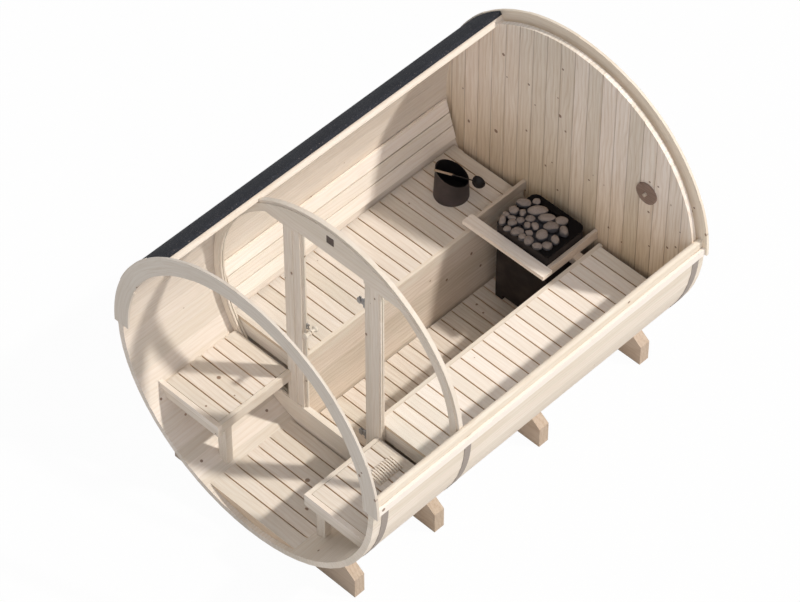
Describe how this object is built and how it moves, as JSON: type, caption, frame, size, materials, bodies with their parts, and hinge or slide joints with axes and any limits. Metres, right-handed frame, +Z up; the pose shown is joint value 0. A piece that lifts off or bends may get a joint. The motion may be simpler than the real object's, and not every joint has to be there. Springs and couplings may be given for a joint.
{
  "type": "cut-away barrel sauna",
  "caption": "Barrel sauna lying on cradles, cut away at the upper right to show the porch, the glazed front wall with its glass door, slatted benches, backrest and heater.",
  "frame": {"origin": "middle of the footprint, on the ground under the cradles", "axes": "+Z up, +Y along the barrel from the porch to the back wall, +X to the cut-away side"},
  "size_m": [2.265, 2.95, 2.304],
  "materials": {
    "spruce_staves": "planed spruce, unpainted",
    "spruce_trim": "planed spruce, unpainted",
    "spruce_beams": "sawn spruce, unpainted",
    "spruce_joinery": "planed spruce, unpainted",
    "spruce_boards": "planed spruce with knots",
    "spruce_slats": "planed spruce, unpainted",
    "felt": "granulated roofing felt",
    "band_steel": "galvanised",
    "fitting_steel": "satin",
    "clear_glass": "clear, polished",
    "turned_wood": "turned, unpainted",
    "brown_wood": "heat-treated, matt",
    "black_metal": "matt black"
  },
  "bodies": {
    "sauna": {"staves_left_upper": "spruce_staves", "staves_left_lower": "spruce_staves", "staves_bottom": "spruce_staves", "staves_right_lower": "spruce_staves", "staves_right_upper": "spruce_staves", "front_ring": "spruce_trim", "rear_ring": "spruce_trim", "left_batten": "spruce_trim", "right_batten": "spruce_trim", "cradles": "spruce_beams", "front_header": "spruce_joinery", "left_stile": "spruce_joinery", "right_stile": "spruce_joinery", "left_door_post": "spruce_joinery", "right_door_post": "spruce_joinery", "front_sill": "spruce_joinery", "glazing_beads": "spruce_joinery", "back_wall": "spruce_boards", "bench_skirts": "spruce_boards", "porch_floor": "spruce_slats", "room_floor": "spruce_slats", "porch_left_slats": "spruce_slats", "porch_left_frame": "spruce_slats", "porch_right_slats": "spruce_slats", "porch_right_frame": "spruce_slats", "room_left_slats": "spruce_slats", "room_left_rail": "spruce_slats", "room_right_slats": "spruce_slats", "room_right_rail": "spruce_slats", "backrest": "spruce_slats", "heater_guard": "spruce_slats", "guard_rails": "spruce_slats", "headrest": "spruce_slats", "roof_felt": "felt", "steel_bands": "band_steel", "hinge_plates": "fitting_steel", "roller_catch": "fitting_steel", "left_window": "clear_glass", "right_window": "clear_glass", "vent_disc": "brown_wood", "ladle": "brown_wood", "heater": "black_metal", "bucket": "black_metal"},
    "door": {"door_glass": "clear_glass", "door_hinges": "fitting_steel", "door_knobs": "turned_wood"}
  },
  "joints": [
    {"name": "door_swing", "type": "hinge", "parent": "sauna", "child": "door", "pos_m": [0.262, -0.694, 1.17], "axis": [0, 0, 1], "range_deg": [0, 100]}
  ]
}
